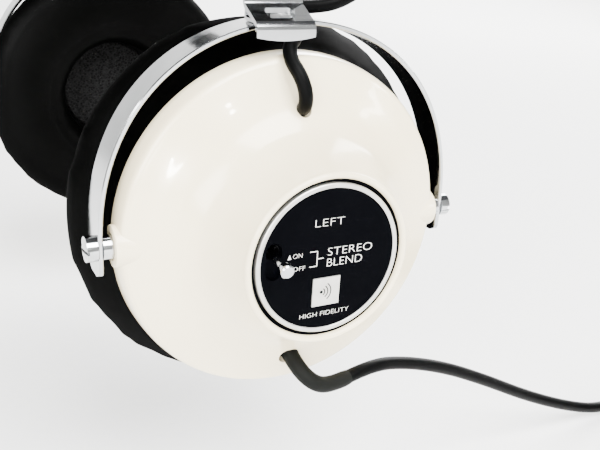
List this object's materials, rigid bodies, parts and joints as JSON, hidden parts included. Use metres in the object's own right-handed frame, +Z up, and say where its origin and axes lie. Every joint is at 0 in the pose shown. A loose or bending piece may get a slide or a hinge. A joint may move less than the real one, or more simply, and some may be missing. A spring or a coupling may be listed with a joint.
{
  "type": "headphones",
  "caption": "Over-ear stereo headphones with cream domed cups, black ring cushions, chrome yokes, a padded sprung headband, a small toggle switch and a cord with a plug.",
  "frame": {"origin": "middle of the underside of the headband pad, where the head carries the part", "axes": "+X towards the left ear cup, +Y towards the back of the wearer's head, +Z up"},
  "size_m": [0.3017, 0.2728, 0.248],
  "materials": {
    "cream_shell": "polished cream ABS",
    "chrome_steel": "bright chrome plate on steel",
    "zinc_steel": "zinc plated, satin",
    "black_plastic": "moulded, slightly grained",
    "housing_black": "satin black moulding",
    "label_black": "satin blue-black lacquer on aluminium",
    "bezel_silver": "fine satin, bright",
    "emblem_silver": "fine satin",
    "magnet_iron": "ground ferrite",
    "cone_paper": "pressed pulp, matt",
    "grille_foam": "open-cell foam",
    "cushion_vinyl": "soft glossy black leathercloth over foam",
    "pad_vinyl": "soft black leathercloth, stitched",
    "cord_vinyl": "satin black vinyl",
    "relief_vinyl": "matt black vinyl",
    "board_laminate": "brown paper laminate"
  },
  "bodies": {
    "headband": {"headband_spring": "chrome_steel", "headband_pad": "pad_vinyl", "left_slider_outer_cover": "housing_black", "left_slider_inner_cover": "housing_black", "right_slider_outer_cover": "housing_black", "right_slider_inner_cover": "housing_black", "slider_screws": "zinc_steel", "detent_springs": "zinc_steel", "left_link_cord_upper": "cord_vinyl", "right_link_cord_upper": "cord_vinyl"},
    "left_hanger": {"left_hanger": "chrome_steel", "left_foot_plate": "chrome_steel", "left_swivel_bolt": "zinc_steel", "left_swivel_nut": "zinc_steel"},
    "left_yoke": {"left_yoke": "chrome_steel", "left_pivot_screws": "chrome_steel", "left_pivot_bushes": "black_plastic"},
    "left_cup": {"left_shell": "cream_shell", "left_label_plate": "label_black", "left_bezel_ring": "bezel_silver", "left_emblem": "emblem_silver", "left_baffle": "black_plastic", "left_baffle_screws": "zinc_steel", "left_driver_basket": "black_plastic", "left_driver_magnet": "magnet_iron", "left_driver_cone": "cone_paper", "left_grille": "grille_foam", "left_cushion": "cushion_vinyl", "left_link_cord_lower": "cord_vinyl", "switch_body": "black_plastic", "crossfeed_board": "board_laminate", "strain_relief": "relief_vinyl", "main_cord": "cord_vinyl", "main_cord_coil": "cord_vinyl", "main_cord_tail": "cord_vinyl", "cord_tie": "relief_vinyl", "plug_boot": "relief_vinyl", "plug_barrel": "housing_black", "plug_shank": "chrome_steel", "plug_tip": "chrome_steel"},
    "switch_lever": {"switch_lever": "chrome_steel"},
    "right_hanger": {"right_hanger": "chrome_steel", "right_foot_plate": "chrome_steel", "right_swivel_bolt": "zinc_steel", "right_swivel_nut": "zinc_steel"},
    "right_yoke": {"right_yoke": "chrome_steel", "right_pivot_screws": "chrome_steel", "right_pivot_bushes": "black_plastic"},
    "right_cup": {"right_shell": "cream_shell", "right_label_plate": "label_black", "right_bezel_ring": "bezel_silver", "right_emblem": "emblem_silver", "right_baffle": "black_plastic", "right_baffle_screws": "zinc_steel", "right_driver_basket": "black_plastic", "right_driver_magnet": "magnet_iron", "right_driver_cone": "cone_paper", "right_grille": "grille_foam", "right_cushion": "cushion_vinyl", "right_link_cord_lower": "cord_vinyl"}
  },
  "joints": [
    {"name": "left_height", "type": "slide", "parent": "headband", "child": "left_hanger", "axis": [0.2588, 0, -0.9659], "range_m": [0, 0.022]},
    {"name": "left_swivel", "type": "hinge", "parent": "left_hanger", "child": "left_yoke", "pos_m": [0.0962, 0.0013, -0.08], "axis": [0, 0, 1], "range_deg": [-6, 6]},
    {"name": "left_tilt", "type": "hinge", "parent": "left_yoke", "child": "left_cup", "pos_m": [0.0974, 0.0045, -0.1362], "axis": [0, 1, 0], "range_deg": [-10, 4]},
    {"name": "right_height", "type": "slide", "parent": "headband", "child": "right_hanger", "axis": [-0.2588, 0, -0.9659], "range_m": [0, 0.022]},
    {"name": "right_swivel", "type": "hinge", "parent": "right_hanger", "child": "right_yoke", "pos_m": [-0.0962, 0.0013, -0.08], "axis": [0, 0, -1], "range_deg": [-6, 6]},
    {"name": "right_tilt", "type": "hinge", "parent": "right_yoke", "child": "right_cup", "pos_m": [-0.0974, 0.0045, -0.1362], "axis": [0, -1, 0], "range_deg": [-10, 4]},
    {"name": "switch_throw", "type": "hinge", "parent": "left_cup", "child": "switch_lever", "pos_m": [0.1206, -0.0111, -0.1323], "axis": [0, -1, 0], "range_deg": [0, 20]}
  ]
}
